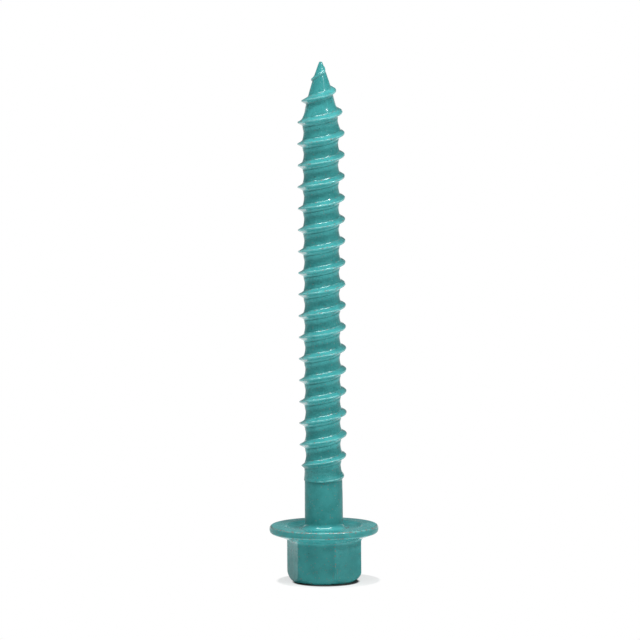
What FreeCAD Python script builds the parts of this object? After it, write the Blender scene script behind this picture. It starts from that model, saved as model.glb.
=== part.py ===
import FreeCAD, Part
import math
import os

import Sketcher
from FreeCAD import Vector

# Hex washer head wood screw, one piece of cold headed and thread rolled steel.
# It stands on the end of its head: z = 0 is that end, +Z runs up to the point, the axis is x = y = 0.

# Driving dimensions, millimetres and degrees: (alias, value, what it is)
DIMENSIONS = [
    ("across_flats", 7.8, "hexagon, flat to flat"),
    ("flange_dia", 12.8, "washer flange, widest"),
    ("bearing_height", 6.6, "end of the head to the bearing face"),
    ("flange_edge", 1.0, "thickness of the flange at its rim"),
    ("flange_slope", 20.4, "slope of the flange on the hexagon side"),
    ("end_land_dia", 7.36, "flat end of the head, outer edge"),
    ("chamfer_height", 1.0, "height of the conical chamfer at the hexagon's corners"),
    ("recess_dia", 6.0, "forged recess in the end of the head, at its mouth"),
    ("recess_floor_dia", 4.7, "the same recess at its floor"),
    ("recess_depth", 0.6, "depth of that recess"),
    ("dish_dia", 8.9, "undercut in the bearing face, outer edge"),
    ("dish_wall", 0.4, "width of the sloping wall of the undercut"),
    ("dish_depth", 0.35, "depth of the undercut"),
    ("neck_bevel", 0.35, "bevel between undercut and shank"),
    ("shank_dia", 4.36, "plain shank under the head"),
    ("shank_length", 5.15, "bearing face to the end of the plain shank"),
    ("shank_chamfer", 0.2, "chamfer where the shank drops to the thread's core"),
    ("screw_length", 54.8, "bearing face to the tip"),
    ("pitch", 2.54, "axial distance between turns, one start, right hand"),
    ("major_dia", 5.5, "over the crests"),
    ("core_dia", 4.1, "root between the ridges"),
    ("point_flank", 31.0, "flank that faces the tip, angle from the radial"),
    ("head_flank", 37.0, "flank that faces the head, angle from the radial"),
    ("start_angle", 295.0, "where the crest leaves the end of the shank"),
    ("runout_length", 3.2, "length over which the ridge grows from the shank"),
    ("point_length", 7.6, "length of the ogive point"),
    ("point_power", 1.6, "fullness of the ogive"),
    ("tip_dia", 0.3, "blunt end of the point"),
    ("fade_length", 3.2, "length over which the ridge dies out on the point"),
    ("faded_width", 0.3, "share of its width that the ridge keeps where it dies out"),
    ("bare_tip", 1.4, "smooth end of the point, past the last of the ridge"),
]

# Each helical edge is a chain of arcs, so many to a turn
SPANS_PER_TURN = 6


def fill_sheet(doc):
    """Write the driving dimensions into a spreadsheet, one alias a row."""
    sheet = doc.addObject("Spreadsheet::Sheet", "dims")
    for row, (alias, value, note) in enumerate(DIMENSIONS, start=1):
        sheet.set(f"A{row}", alias)
        sheet.set(f"B{row}", str(value))
        sheet.setAlias(f"B{row}", alias)
        sheet.set(f"C{row}", note)
    doc.recompute()
    return sheet


def new_sketch(body, name, role):
    """Sketch on one of the body's own origin planes."""
    plane = next(f for f in body.Origin.OriginFeatures if f.Role == role)
    sketch = body.newObject("Sketcher::SketchObject", name)
    sketch.AttachmentSupport = [(plane, "")]
    sketch.MapMode = "FlatFace"
    return sketch


def bind(sketch, kind, geometry, point, name, expression):
    """Tie one coordinate of a point to an expression on the sheet."""
    value = sketch.evalExpression(expression)
    index = sketch.addConstraint(Sketcher.Constraint(kind, -1, 1, geometry, point, value))
    sketch.renameConstraint(index, name)
    sketch.setExpression(f"Constraints.{name}", expression)


def half_round(start, end):
    """Half circle from one point to another, bulging to the right of the way."""
    centre = (start + end) * 0.5
    first = math.atan2(start.y - centre.y, start.x - centre.x)
    circle = Part.Circle(centre, Vector(0, 0, 1), (end - start).Length / 2)
    return Part.ArcOfCircle(circle, first, first + math.pi)


def draw_outline(sketch, corners, upright_round):
    """Closed outline through named corners (name, expression for x, expression for y).

    A coordinate written as "0" lies on the sketch's axis. The stretch that starts at the corner
    named upright_round is a half circle, to a next corner that lies straight above.
    """
    places = [Vector(sketch.evalExpression(x), sketch.evalExpression(y), 0) for _, x, y in corners]
    count = len(corners)
    for i, (name, _, _) in enumerate(corners):
        start, end = places[i], places[(i + 1) % count]
        if name == upright_round:
            sketch.addGeometry(half_round(start, end), False)
        else:
            sketch.addGeometry(Part.LineSegment(start, end), False)
    for i, (name, x, y) in enumerate(corners):
        sketch.addConstraint(Sketcher.Constraint("Coincident", (i - 1) % count, 2, i, 1))
        if x == "0":
            sketch.addConstraint(Sketcher.Constraint("PointOnObject", i, 1, -2))
        else:
            bind(sketch, "DistanceX", i, 1, f"{name}_x", x)
        if y == "0":
            sketch.addConstraint(Sketcher.Constraint("PointOnObject", i, 1, -1))
        else:
            bind(sketch, "DistanceY", i, 1, f"{name}_y", y)
        if name == upright_round:
            bind(sketch, "DistanceX", i, 3, f"{name}_centre", x)


def turned(body, kind, name, corners, upright_round=None):
    """Revolve a half section about the screw's axis: a Revolution adds, a Groove cuts."""
    sketch = new_sketch(body, f"{name}_section", "XZ_Plane")
    draw_outline(sketch, corners, upright_round)
    feature = body.newObject(f"PartDesign::{kind}", name)
    feature.Profile = sketch
    feature.ReferenceAxis = (sketch, ["V_Axis"])
    feature.Angle = 360
    return feature


def add_flange_and_shank(body):
    """Washer flange with its dished bearing side, and the plain shank above it."""
    rim_low = "(dims.bearing_height - dims.flange_edge)"
    rim_centre = "(dims.flange_dia / 2 - dims.flange_edge / 2)"
    floor = "(dims.bearing_height - dims.dish_depth)"
    shank_end = "(dims.bearing_height + dims.shank_length)"
    corners = [
        ("apex", "0", f"{rim_low} - {rim_centre} * tan(dims.flange_slope * 1deg)"),
        ("rim_low", rim_centre, rim_low),
        ("rim_top", rim_centre, "dims.bearing_height"),
        ("land_inner", "dims.dish_dia / 2", "dims.bearing_height"),
        ("dish_foot", "dims.dish_dia / 2 - dims.dish_wall", floor),
        ("neck_foot", "dims.shank_dia / 2 + dims.neck_bevel", floor),
        ("neck_top", "dims.shank_dia / 2", f"{floor} + dims.neck_bevel"),
        ("shank_top", "dims.shank_dia / 2", f"{shank_end} - dims.shank_chamfer"),
        ("shank_rim", "dims.core_dia / 2 - dims.shank_chamfer / 4", shank_end),
        ("shank_centre", "0", shank_end),
    ]
    turned(body, "Revolution", "flange_and_shank", corners, upright_round="rim_low")


def add_hexagon(body):
    """Six flats, from the end of the head into the flange."""
    sketch = new_sketch(body, "hexagon_outline", "XY_Plane")
    corner = "dims.across_flats / 2 / cos(30deg)"
    half_side = f"{corner} / 2"
    half_flats = "dims.across_flats / 2"
    radius = sketch.evalExpression(corner)
    points = [Vector(radius * math.cos(math.radians(60 * i)), radius * math.sin(math.radians(60 * i)), 0)
              for i in range(6)]
    for i in range(6):
        sketch.addGeometry(Part.LineSegment(points[i], points[(i + 1) % 6]), False)
    for i in range(6):
        sketch.addConstraint(Sketcher.Constraint("Coincident", i, 2, (i + 1) % 6, 1))
    for i in (0, 3):
        sketch.addConstraint(Sketcher.Constraint("PointOnObject", i, 1, -1))
    bind(sketch, "DistanceX", 0, 1, "corner_right", corner)
    bind(sketch, "DistanceX", 3, 1, "corner_left", f"-({corner})")
    for i, x_sign, y_sign in ((1, "", ""), (2, "-", ""), (4, "-", "-"), (5, "", "-")):
        bind(sketch, "DistanceX", i, 1, f"corner_{i}_x", f"{x_sign}({half_side})")
        bind(sketch, "DistanceY", i, 1, f"corner_{i}_y", f"{y_sign}({half_flats})")
    pad = body.newObject("PartDesign::Pad", "hexagon")
    pad.Profile = sketch
    pad.setExpression("Length", "dims.bearing_height - dims.flange_edge")


def cut_head_end(body):
    """Conical chamfer that trims the hexagon's corners, and the forged recess inside it."""
    corner = "dims.across_flats / 2 / cos(30deg)"
    chamfer = [
        ("land_edge", "dims.end_land_dia / 2", "0"),
        ("outside", corner, "0"),
        ("chamfer_top", corner, "dims.chamfer_height"),
    ]
    turned(body, "Groove", "end_chamfer", chamfer)
    recess = [
        ("centre", "0", "0"),
        ("mouth", "dims.recess_dia / 2", "0"),
        ("floor_edge", "dims.recess_floor_dia / 2", "dims.recess_depth"),
        ("floor_centre", "0", "dims.recess_depth"),
    ]
    turned(body, "Groove", "end_recess", recess)


def make_blank(doc):
    """Head, flange and shank, as one body."""
    body = doc.addObject("PartDesign::Body", "headed_blank")
    add_flange_and_shank(body)
    add_hexagon(body)
    cut_head_end(body)
    return body


class Thread:
    """Single right-hand ridge whose depth grows out of the shank and dies out on the point.

    Three lanes run along each turn: the foot of the flank that faces the head, the crest and the
    foot of the flank that faces the tip.
    """

    LANES = 3

    def __init__(self, sheet):
        size = {alias: float(sheet.get(alias)) for alias, _, _ in DIMENSIONS}
        self.pitch = size["pitch"]
        self.core = size["core_dia"] / 2
        self.depth = (size["major_dia"] - size["core_dia"]) / 2
        self.point_run = math.tan(math.radians(size["point_flank"]))
        self.head_run = math.tan(math.radians(size["head_flank"]))
        self.start_z = size["bearing_height"] + size["shank_length"]
        self.start_turn = size["start_angle"] / 360
        self.runout = size["runout_length"]
        self.tip_z = size["bearing_height"] + size["screw_length"]
        self.point = size["point_length"]
        self.power = size["point_power"]
        self.tip = size["tip_dia"] / 2
        self.fade = size["fade_length"]
        self.faded_width = size["faded_width"]
        self.bare = size["bare_tip"]

    def core_radius(self, z):
        """Radius of the ogive core at a height."""
        left = min(max(self.tip_z - z, 0.0), self.point)
        fullness = 1 - (1 - left / self.point) ** self.power
        return self.tip + (self.core - self.tip) * fullness

    def growth(self, z):
        """Share of the full ridge depth at a height, 0 to 1, with soft ends."""
        leaving = (z - self.start_z) / self.runout
        dying = (self.tip_z - self.bare - z) / self.fade
        share = min(max(min(leaving, dying), 0.0), 1.0)
        return share * share * (3 - 2 * share)

    def lane_point(self, lane, turn):
        """Point of a lane at an angle counted in turns; lane 3 is lane 0 of the turn above."""
        above, kind = divmod(lane, self.LANES)
        crest_z = self.start_z + self.pitch * (turn - self.start_turn + above)
        share = self.growth(crest_z)
        base = self.depth * (self.faded_width + (1 - self.faded_width) * share)
        z = crest_z + base * (-self.head_run, 0, self.point_run)[kind]
        radius = self.core_radius(z)
        if kind == 1:
            radius += share * self.depth
        angle = 2 * math.pi * turn
        return Vector(radius * math.cos(angle), radius * math.sin(angle), z)

    def lane_edge(self, lane, turn, span):
        """Arc of one lane over one span of a turn."""
        start, middle, end = [self.lane_point(lane, turn + span * share) for share in (0, 0.5, 1)]
        return Part.Arc(start, middle, end).toShape()

    def closing_faces(self, turn, span):
        """Helical floor from lane 0 to the axis over one turn, and the flat step that ends it."""
        faces = []
        axis = [Vector(0, 0, self.lane_point(0, turn + span * i).z) for i in range(SPANS_PER_TURN + 1)]
        for i in range(SPANS_PER_TURN):
            edge = self.lane_edge(0, turn + span * i, span)
            faces.append(Part.makeRuledSurface(edge, Part.makeLine(axis[i], axis[i + 1])))
        rim = [self.lane_point(lane, turn) for lane in range(self.LANES + 1)]
        loop = axis[::-1] + rim + [axis[-1]]
        faces.append(Part.Face(Part.makePolygon(loop)))
        return faces

    def solid(self):
        """Ruled faces between neighbouring lanes, sewn to a closed solid.

        It begins inside the shank and runs past the tip as a thin needle, to be trimmed there.
        """
        span = 1 / SPANS_PER_TURN
        first = self.start_turn - 2
        turns = math.ceil((self.tip_z - self.start_z) / self.pitch) + 3
        faces = []
        for number in range(turns * SPANS_PER_TURN):
            turn = first + number * span
            edges = [self.lane_edge(lane, turn, span) for lane in range(self.LANES + 1)]
            for low, high in zip(edges, edges[1:]):
                faces.append(Part.makeRuledSurface(low, high))
        faces += self.closing_faces(first, span)
        faces += self.closing_faces(first + turns, span)
        shell = Part.makeShell(faces)
        shell.sewShape()
        solid = Part.Solid(shell.Shells[0])
        if solid.Volume < 0:
            solid.reverse()
        return solid


def make_thread(doc, sheet):
    """Threaded length, trimmed square at the tip."""
    rolled = doc.addObject("Part::Feature", "rolled_thread")
    rolled.Shape = Thread(sheet).solid()
    envelope = doc.addObject("Part::Cylinder", "length_envelope")
    envelope.setExpression("Radius", "dims.flange_dia / 2")
    envelope.setExpression("Height", "dims.bearing_height + dims.screw_length")
    trimmed = doc.addObject("Part::Common", "trimmed_thread")
    trimmed.Base = rolled
    trimmed.Tool = envelope
    return trimmed


def check(doc, parts):
    """Stop on any failed object, and on any part without one valid solid."""
    for item in doc.Objects:
        if "Invalid" in item.State or "Error" in item.State:
            raise RuntimeError(f"{item.Name} failed: {item.State}")
    for part in parts:
        shape = part.Shape
        if shape.isNull() or not shape.isValid() or len(shape.Solids) != 1:
            raise RuntimeError(f"{part.Label} is not one valid solid")


def main():
    doc = FreeCAD.newDocument("hex_washer_head_wood_screw")
    sheet = fill_sheet(doc)
    blank = make_blank(doc)
    thread = make_thread(doc, sheet)
    screw = doc.addObject("Part::Fuse", "screw")
    screw.Label = "screw"
    screw.Base = blank
    screw.Tool = thread
    doc.recompute()
    check(doc, [screw])
    os.makedirs("parts", exist_ok=True)
    screw.Shape.exportStep(f"parts/{screw.Label}.step")
    print(f"screw: {screw.Shape.Volume:.1f} mm3, {len(screw.Shape.Faces)} faces")


main()
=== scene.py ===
import math

import bpy
import numpy as np
from mathutils import Matrix, Vector, noise


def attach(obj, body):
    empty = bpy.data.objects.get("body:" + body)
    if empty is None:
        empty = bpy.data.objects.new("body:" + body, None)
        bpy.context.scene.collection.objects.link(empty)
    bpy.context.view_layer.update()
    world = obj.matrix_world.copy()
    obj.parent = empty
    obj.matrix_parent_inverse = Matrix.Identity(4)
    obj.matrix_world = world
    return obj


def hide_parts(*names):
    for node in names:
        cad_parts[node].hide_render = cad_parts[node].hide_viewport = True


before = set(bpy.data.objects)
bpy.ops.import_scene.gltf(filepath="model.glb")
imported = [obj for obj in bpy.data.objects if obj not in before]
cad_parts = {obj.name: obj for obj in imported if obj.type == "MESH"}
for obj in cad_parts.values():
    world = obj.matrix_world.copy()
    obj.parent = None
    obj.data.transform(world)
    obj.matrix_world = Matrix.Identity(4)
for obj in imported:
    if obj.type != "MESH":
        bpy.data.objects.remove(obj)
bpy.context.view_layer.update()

# Sizes are in millimetres, apart from the floor's and the lamps'. z = 0 is the end of the head, the
# screw's axis is x = y = 0, and z runs up to the point.
MM = 0.001

# Head and shank
ACROSS_FLATS = 7.8
CORNER_ROUND = 0.25
SECTOR = math.pi / 3
RECESS_DEPTH = 0.60
RECESS_FLOOR_RADIUS = 2.10
RECESS_LEDGE = ((2.32, 0.48), (2.58, 0.42))
RECESS_MOUTH_RADIUS = 3.02
LAND_RADIUS = 3.68
CHAMFER_ROUND = 2.0
CHAMFER_CENTRE = (2.6075, 1.688)
CONE_APEX_Z = 3.393
CONE_SLOPE = 0.3718
CONE_END_RADIUS = 6.30
RIM_RADIUS = 6.4
RIM_FOOT_Z = 6.02
BEARING_Z = 6.6
DISH_EDGE_RADIUS = 4.47
DISH_FOOT_RADIUS = 4.02
DISH_FLOOR_Z = 6.25
NECK_FILLET = 0.60
SHANK_RADIUS = 2.24
SHANK_TOP_RADIUS = 2.215
# The shank tapers from this height up to this far under the start of the ridge
SHANK_TAPER_Z, SHANK_TAPER_END = 9.2, 0.6
# At the corners of the hexagon, over this angle in radians, the fillet under the flange is wider
CORNER_SPREAD = 0.09
# A rounding takes at most this share of the shorter side of its corner
ROUNDING_ROOM = 0.47

# Ridge of the thread
PITCH = 2.54
CREST_RADIUS = 2.78
CORE_RADIUS = 2.115
RIDGE_START_Z = 11.943
RIDGE_START_ANGLE = math.radians(200.2)
FLATTENED_TURNS = 0.6
# The first turns stand above the helix: turn of the highest place, its spread in turns, its height
RUN_OUT_LIFT = (0.7, 0.35, 0.13)
LIFT_GROWTH_TURNS = 0.2
# Radius of the crest by turn, where it grows out of the shank
RUN_OUT_TURNS = [-0.5, -0.25, -0.02, 0.23, 0.48, 0.98, 1.48, 1.98]
RUN_OUT_RADII = [1.9, 2.12, 2.29, 2.35, 2.42, 2.54, 2.68, CREST_RADIUS]
# Slopes of the two flanks by turn: the first turns are a low lip whose tip side rises gently
TIP_FLANK_TURNS, TIP_FLANK_SLOPES = [0.1, 0.5, 1.0, 1.6], [0.22, 0.75, 1.45, 1.84]
HEAD_FLANK_TURNS, HEAD_FLANK_SLOPES = [0.5, 1.0, 1.6], [1.1, 1.3, 2.07]
# The flanks reach the crest's radius this far above and below the crest's line
TIP_FLANK_ABOVE = 0.024
HEAD_FLANK_BELOW = 0.145
CREST_ROUND = 0.10
CREST_CAP, CREST_CAP_ROUND = 0.010, 0.05

# Root between the ridges: distance under the crest above it, and how far it stands off the core
ROOT_BELOW = [
    0.0, 0.41, 0.57, 0.65, 0.69, 0.73, 0.80, 0.92, 1.04, 1.16, 1.33, 1.57, 1.81, 1.92, 2.04, 2.16,
    2.54]
ROOT_RISE = [
    0.06, 0.05, 0.04, 0.03, -0.02, 0.01, 0.005, -0.026, -0.059, -0.08, -0.09, -0.075, -0.032, 0.0,
    0.03, 0.075, 0.10]
DARK_LINE_BELOW = 0.69
# The root takes on that section with the gap between two turns and over the first turns, where it
# also leaves the shank's radius. Each pair is where the change starts and how long it is.
ROOT_GAP, ROOT_TURNS, SHANK_LEFT_TURNS = (1.2, 1.3), (-0.4, 1.2), (-0.05, 0.55)
# It has lost that section at this distance from the tip, and begins to lose it this much earlier
ROOT_END, ROOT_FADE = 4.6, 3.5
# Where the point begins, the root rises towards the ridge below it
FLARE_Z = (52.5, 57.0)
FLARE_BLEND = 1.5
FLARE_BELOW = 1.1
FLARE_RISE, FLARE_POWER = 0.15, 1.5
# Width of the rounding between the ridge and the root, on either side of the ridge
HEAD_SIDE_FILLET, TIP_SIDE_FILLET = 0.18, 0.20
# The ridge melts into the point: at this distance from the tip the fillets begin to widen, over
# this length, and by this much
POINT_FILLET_LEFT, POINT_FILLET_BLEND, POINT_FILLET = 2.6, 0.8, 0.25

# Point
TIP_Z = 61.4
TIP_RADIUS = 0.17
POINT_LENGTH = 7.6
POINT_FULLNESS = 1.5
LAST_RING_Z = 61.05
# Height of the crest over the core near the tip, by the distance left to it
CREST_LEFT = [0.90, 1.45, 1.75, 2.00, 2.60, 3.23, 4.20]
CREST_HEIGHT = [-0.1, 0.0, 0.10, 0.20, 0.33, 0.52, CREST_RADIUS - CORE_RADIUS]
# Rows of the cap: distance left to the tip, then share of the last radius and distance left
CAP_SIDE = (0.27, 0.19, 0.12, 0.06)
CAP_END = ((0.93, 0.03), (0.82, 0.01), (0.6, 0.0))

# The axis strays to one side: a slight bow, and a bent point
BOW_ANGLE = math.radians(13)
BOW_Z = [9.0, 17.0, 49.0, 55.5, 58.5, TIP_Z]
BOW_ASIDE = [0, -0.018, -0.018, 0, 0.015, 0.045]

# Lines of vertices round the screw, the same number on the head as in one turn of thread
LINES = 120
# On the hexagon they crowd towards its corners, by this power. On the flange they grow even: where
# that starts, from the axis, and how long it takes.
CORNER_CROWDING = 2.2
EVEN_LINES_RADIUS = (4.6, 1.4)
# Lanes of vertices along the thread, by their distance above the crest below them
LANES = np.array([
    0.0, 0.03, 0.07, 0.12, 0.18, 0.24, 0.29, 0.33, 0.37, 0.42, 0.48, 0.56, 0.68, 0.84, 1.03, 1.22,
    1.39, 1.54, 1.67, 1.76, 1.81, 1.85, 1.89, 1.97, 2.05, 2.13, 2.20, 2.27, 2.34, 2.40, 2.45, 2.50])

# Painted light on the head, from 0 for the plain teal to 1 for the lightest teal: lighter teal
# paints light on the flange's lower face, the dish and the bearing face, and the foot of the flats
# is painted darker. It also makes the surface smoother. A pair in round brackets says where a rise
# starts, or a fall ends, and how long it is. That holds down to the dark lines.
FLATS_PAINTED_LIGHT, FLATS_PAINTED_LIGHT_GAIN, FLATS_PAINTED_LIGHT_Z = 0.08, 0.32, (1.2, 3.0)
CONE_PAINTED_LIGHT, CONE_PAINTED_LIGHT_GAIN, CONE_PAINTED_LIGHT_RADIUS = 0.80, 0.20, (4.3, 0.8)
FLANGE_PAINTED_LIGHT_Z = (4.55, 0.4)
RIM_PAINTED_LIGHT, RIM_BAND = 0.25, 0.06
# The part of the head above this height: undercut, bearing face and neck
UPPER_SIDE_Z = 6.0
DISH_PAINTED_LIGHT, DISH_PAINTED_LIGHT_RADIUS = 1.0, 5
BEARING_PAINTED_LIGHT, BEARING_PAINTED_LIGHT_Z = 0.9, 6.55
BEARING_EDGE_PAINTED_LIGHT, BEARING_EDGE_RADIUS = 0.3, 6.2
SHANK_PLAIN_Z = 7.0

# Painted light on the thread, by turn, by height, by rise of the ridge over the root or by distance
# under the crest above: lighter teal paints the light on the flanks and on the band under each dark
# line, which faces the floor. It also makes the surface smoother.
RIDGE_PAINTED_LIGHT_TURNS, RIDGE_PAINTED_LIGHT = [0, 0.5, 1.2], [0.25, 0.4, 1]
RIDGE_PAINTED_LIGHT_RISE = (-0.01, 0.08)
TIP_SIDE_PAINTED_LIGHT_Z, TIP_SIDE_PAINTED_LIGHT = [50, 54], [0.75, 1.1]
FILLET_PAINTED_LIGHT, FILLET_RISE = 0.42, (-0.22, 0.12)
ABOVE_DARK_LINE_END = (DARK_LINE_BELOW + 0.01, 0.05)
UNDER_DARK_LINE_PAINTED_LIGHT, UNDER_DARK_LINE_START, UNDER_DARK_LINE_END = 0.80, (DARK_LINE_BELOW, 0.06), (1.35, 0.35)
ROOT_PAINTED_LIGHT, ROOT_PAINTED_LIGHT_TURNS = 0.12, (1, 1)
POINT_PAINTED_LIGHT_Z = [53.5, 55.0, 57.0, 58.5, 59.8, 60.3]
POINT_PAINTED_LIGHT = [0, 0.44, 0.44, 0.38, 0.38, 0.65]
TIP_PAINTED_LIGHT = 0.65

# Gloss, from 0 to 1
CONE_GLOSS, CONE_GLOSS_Z, CONE_GLOSS_RADIUS = 0.4, (4.7, 0.3), 6.2
DISH_GLOSS, DISH_GLOSS_Z, DISH_GLOSS_RADIUS = 0.3, 6.62, 4.6
RIM_GLOSS_Z, RIM_GLOSS_RADIUS = 6.25, 6.0
NECK_GLOSS_Z, NECK_GLOSS_RADIUS = (6.85, 0.25), (3.1, 0.4)
RIDGE_GLOSS_TURNS, RIDGE_GLOSS = [0, 1.0], [0.3, 1]
POINT_GLOSS_Z, POINT_GLOSS = [54.0, 55.0, 59.6, 60.2], [0.0, 0.35, 0.35, 1.0]
TIP_GLOSS = 1.0

# Wear of the edges, from 0 to 1, which also paints a pale highlight along them. The corners and
# the rim have theirs between two heights.
CORNER_WEAR, CORNER_WEAR_SPREAD = 0.5, 0.035
CORNER_WEAR_LOW, CORNER_WEAR_HIGH = 0.3, 5.4
CORNER_WEAR_RADIUS, CORNER_WEAR_REACH = 4.1, 0.4
RIM_WEAR, RIM_WEAR_LOW, RIM_WEAR_HIGH, RIM_WEAR_RADIUS = 0.20, 5.7, 6.7, 6.25
# The crests and the foot of each tip-side flank get a pale painted highlight together with their
# wear
FIRST_CREST_TURNS, FIRST_CREST_WEAR_AND_HIGHLIGHT = [0.12, 0.28], [0.3, 1.0]
CREST_WEAR_AND_HIGHLIGHT_WIDTH, CREST_WEAR_AND_HIGHLIGHT_END = 0.075, (TIP_Z - 2.0, 1.0)
FLANK_FOOT_HIGHLIGHT_AND_WEAR, FLANK_FOOT_ABOVE, FLANK_FOOT_WIDTH = 0.8, 0.37, 0.05
CAP_SIDE_WEAR, CAP_END_WEAR, TIP_WEAR = 0.3, 0.6, 0.5

# Dark line under each ridge, and a fainter dark line at a distance above each crest. The lines show
# where the gap between two turns is wide enough, and end where the root loses its section.
DARK_LINE_WIDTH, DARK_LINE_GAP, DARK_LINE_FADE = 0.035, (1.5, 1.0), 3
UPPER_LINE_SHARE, UPPER_LINE_ABOVE, UPPER_LINE_WIDTH = 0.45, 0.50, 0.05

# Unevenness of the coat: lumps a millimetre, their height and where their noise is taken
LUMPS = ((1.1, 0.006, Vector((0, 0, 0))), (3.1, 0.004, Vector((7, 3, 1))))
# How much of the lumps the hexagon, the flange with the shank, and the thread have
HEXAGON_LUMPS, SHANK_LUMPS, THREAD_LUMPS = 0.35, 0.8, 1.6
HEXAGON_TOP_Z = 5.3
ROUGH_START_Z = RIDGE_START_Z - 0.5
# Smears where the thread begins, and chips on its worn edges
SMEAR_Z, SMEAR_REACH, SMEAR_HEIGHT = 13.2, 1.9, 0.035
SMEAR_SCALE_ROUND, SMEAR_SCALE_UP = 2.2, 4.5
CHIP_SCALE, CHIP_DEPTH, CHIP_THRESHOLD, CHIP_BLEND = 1.7, 0.09, 0.24, 0.2
CHIP_SHIFT = Vector((0, 0, 40))
# The end of the head and the tip stay smooth, and within this radius there is less of it all
SMOOTH_END_Z, SMOOTH_TIP, SMOOTH_RADIUS = 0.7, 0.4, 2
# The radius that it is a share of isn't taken to be less than this
LEAST_RADIUS = 0.1

# Values that every vertex carries for the materials: edge wear with its painted highlight, dark
# lines, painted light, which also makes the surface smoother, and gloss
LAYERS = ("edge", "dark_line", "painted_light_and_smoothness", "gloss")


def smooth_max(a, b, width):
    """Larger of two values, with the switch between them rounded over a width."""
    share = np.clip(0.5 + 0.5 * (a - b) / width, 0, 1)
    return b + (a - b) * share + width * share * (1 - share)


def smooth_min(a, b, width):
    """Smaller of two values, rounded in the same way."""
    return -smooth_max(-a, -b, width)


def smooth_step(share):
    """0 up to 0, 1 from 1 on, and a smooth rise between them."""
    share = np.clip(share, 0, 1)
    return share * share * (3 - 2 * share)


def rising(value, start, length):
    """0 up to a start, 1 from a length further on."""
    return smooth_step((value - start) / length)


def falling(value, end, length):
    """1 up to a length before an end, 0 from the end on."""
    return smooth_step((end - value) / length)


def bell(distance, width):
    """1 at no distance, and next to nothing past two widths."""
    return np.exp(-(distance / width) ** 2)


def corner_distance(angle):
    """Angle to the nearest corner of the hexagon, 0 to 30 degrees, in radians."""
    return np.abs((angle + SECTOR / 2) % SECTOR - SECTOR / 2)


def hexagon_radius(angle):
    """Radius of the hexagon with rounded corners; one corner lies on +X."""
    half = ACROSS_FLATS / 2
    from_corner = corner_distance(angle)
    flat = half / np.cos(SECTOR / 2 - from_corner)
    centre = (half - CORNER_ROUND) / math.cos(SECTOR / 2)
    rise = np.sqrt(np.maximum(CORNER_ROUND ** 2 - (centre * np.sin(from_corner)) ** 2, 0))
    rounded = centre * np.cos(from_corner) + rise
    tangent = SECTOR / 2 - math.atan((half - CORNER_ROUND) * math.tan(SECTOR / 2) / half)
    return np.where(from_corner < tangent, rounded, flat)


def chamfer_z(radius):
    """Height of the rounded end chamfer at a radius."""
    across, up = CHAMFER_CENTRE
    return up - np.sqrt(np.maximum(CHAMFER_ROUND ** 2 - (radius - across) ** 2, 0))


def cone_z(radius):
    """Height of the flange's sloping face at a radius."""
    return CONE_APEX_Z + CONE_SLOPE * radius


def corner_lines():
    """Angles of the lines round the head, crowded towards the corners of the hexagon."""
    per_sector = LINES // 6
    share = (np.arange(per_sector) - per_sector / 2) / (per_sector / 2)
    bent = np.sign(share) * np.abs(share) ** CORNER_CROWDING * math.pi / 6
    return np.concatenate([bent + SECTOR * k for k in range(6)])


def even_lines():
    """Angles of the lines round the shank, evenly spaced."""
    return (np.arange(LINES) - LINES // 6 / 2) * 2 * math.pi / LINES


def head_corners(angle):
    """Section of the head along each line, from the axis to the top of the shank.

    Each corner is (radius, height, length of the rounding, rows on the rounding, rows to the next
    corner, how much the edge shows wear and a painted highlight).
    """
    hexagon = hexagon_radius(angle)
    chamfer_middle = (LAND_RADIUS + hexagon) / 2
    at_corner = bell(corner_distance(angle), CORNER_SPREAD)
    return [
        (0.0, RECESS_DEPTH, 0, 0, 3, 0),
        (RECESS_FLOOR_RADIUS, RECESS_DEPTH, 0.16, 3, 1, 0),
        (*RECESS_LEDGE[0], 0.07, 2, 1, 0),
        (*RECESS_LEDGE[1], 0.10, 3, 2, 0),
        (RECESS_MOUTH_RADIUS, 0.0, 0.16, 5, 3, 0.7),
        (LAND_RADIUS, 0.0, 0.24, 4, 2, 0.3),
        (chamfer_middle, chamfer_z(chamfer_middle), 0.16, 2, 2, 0),
        (hexagon, chamfer_z(hexagon), 0.12, 4, 6, 0.35),
        (hexagon, cone_z(hexagon), 0.30 + 0.10 * at_corner, 6, 10, 0.15),
        (CONE_END_RADIUS, cone_z(CONE_END_RADIUS), 0.14, 5, 1, 0.9),
        (RIM_RADIUS, RIM_FOOT_Z, 0.20, 5, 1, 0.25),
        (RIM_RADIUS, BEARING_Z, 0.36, 8, 6, 0.8),
        (DISH_EDGE_RADIUS, BEARING_Z, 0.16, 4, 2, 0.2),
        (DISH_FOOT_RADIUS, DISH_FLOOR_Z, 0.22, 5, 3, 0),
        (SHANK_RADIUS, DISH_FLOOR_Z, NECK_FILLET, 9, 5, 0),
        (SHANK_RADIUS, SHANK_TAPER_Z, 1.0, 4, 5, 0),
        (SHANK_TOP_RADIUS, RIDGE_START_Z - SHANK_TAPER_END, 0.3, 2, 7, 0),
        (SHANK_TOP_RADIUS, RIDGE_START_Z, 0, 0, 0, 0),
    ]


def rounding(before, corner, after, length):
    """Where the rounding of a corner begins and ends, and the weight that makes it an arc."""
    back, ahead = before - corner, after - corner
    back_reach, ahead_reach = np.linalg.norm(back, axis=0), np.linalg.norm(ahead, axis=0)
    cut = np.minimum(length, ROUNDING_ROOM * np.minimum(back_reach, ahead_reach))
    back_unit, ahead_unit = back / back_reach, ahead / ahead_reach
    # A conic through the corner's two tangent points is an exact arc with this weight
    weight = np.sqrt(np.maximum((1 - (back_unit * ahead_unit).sum(0)) / 2, 0.0))
    return corner + back_unit * cut, corner + ahead_unit * cut, weight


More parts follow.
